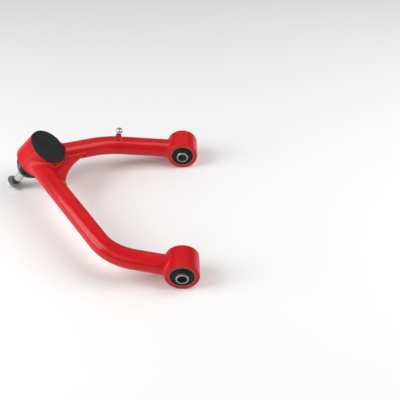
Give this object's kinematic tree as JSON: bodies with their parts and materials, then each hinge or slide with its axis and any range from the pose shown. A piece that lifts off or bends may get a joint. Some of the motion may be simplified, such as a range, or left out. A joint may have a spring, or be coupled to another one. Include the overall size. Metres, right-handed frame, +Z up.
{
  "type": "upper control arm",
  "caption": "Tubular upper control arm: two bent tubes and a gusset join a pair of rubber-bushed pivot eyes to a canted cup with a sealed ball joint, cap and flange nut.",
  "frame": {"origin": "on the inboard pivot axis, midway between the two bushing bores", "axes": "+Y along the pivot axis towards the rear bushing, +X inboard towards the vehicle, +Z up; the ball joint is outboard at -X and the arm lies as it rests on a floor"},
  "size_m": [0.3179, 0.3294, 0.1101],
  "materials": {
    "red_powder_coat": "gloss powder coat, slight orange peel",
    "stainless_screw": "bright",
    "bushing_shell_steel": "oiled",
    "bushing_rubber": "satin",
    "sleeve_steel": "zinc washed",
    "forged_steel": "phosphated",
    "bearing_polymer": "satin",
    "spring_steel": "black oxide",
    "zinc_plate": "bright zinc",
    "ground_steel": "ground",
    "cap_plastic": "satin",
    "boot_rubber": "satin"
  },
  "bodies": {
    "arm": {"front_tube": "red_powder_coat", "rear_tube": "red_powder_coat", "ball_joint_cup": "red_powder_coat", "gusset_plate": "red_powder_coat", "front_bushing_eye": "red_powder_coat", "rear_bushing_eye": "red_powder_coat", "line_bracket_boss": "red_powder_coat", "line_bracket_screw": "stainless_screw", "front_bushing_shell": "bushing_shell_steel", "rear_bushing_shell": "bushing_shell_steel", "front_bushing_rubber": "bushing_rubber", "rear_bushing_rubber": "bushing_rubber", "joint_housing": "forged_steel", "lower_bearing_seat": "bearing_polymer", "upper_bearing_seat": "bearing_polymer", "preload_washer": "spring_steel", "cover_plate": "forged_steel", "grease_nipple": "zinc_plate", "retaining_ring": "spring_steel", "boot_upper_clip": "spring_steel"},
    "ball_cap": {"ball_joint_cap": "cap_plastic"},
    "dust_boot": {"dust_boot": "boot_rubber"},
    "boot_ring": {"boot_lower_clip": "spring_steel"},
    "ball_stud": {"ball_stud": "ground_steel", "stud_nut": "zinc_plate"},
    "front_sleeve": {"front_bushing_sleeve": "sleeve_steel"},
    "rear_sleeve": {"rear_bushing_sleeve": "sleeve_steel"}
  },
  "joints": [
    {"name": "cap_pull", "type": "slide", "parent": "arm", "child": "ball_cap", "axis": [0.6593, -0.0471, 0.7504], "range_m": [0, 0.03]},
    {"name": "stud_swing", "type": "hinge", "parent": "arm", "child": "dust_boot", "pos_m": [-0.23241, 0.06813, 0.04093], "axis": [0.0311, 0.9989, 0.0354], "range_deg": [-25, 25], "deforming": ["dust_boot"]},
    {"name": "stud_tilt", "type": "hinge", "parent": "dust_boot", "child": "boot_ring", "pos_m": [-0.23241, 0.06813, 0.04093], "axis": [0.7513, 0, -0.66], "range_deg": [-15, 15], "deforming": ["dust_boot"]},
    {"name": "stud_spin", "type": "hinge", "parent": "boot_ring", "child": "ball_stud", "pos_m": [-0.23241, 0.06813, 0.04093], "axis": [0.6593, -0.0471, 0.7504], "continuous": true},
    {"name": "front_sleeve_twist", "type": "hinge", "parent": "arm", "child": "front_sleeve", "pos_m": [0, -0.1397, 0], "axis": [0, 1, 0], "range_deg": [-30, 30], "stiffness_Nm_per_rad": 40},
    {"name": "rear_sleeve_twist", "type": "hinge", "parent": "arm", "child": "rear_sleeve", "pos_m": [0, 0.1397, 0], "axis": [0, 1, 0], "range_deg": [-30, 30], "stiffness_Nm_per_rad": 40}
  ]
}
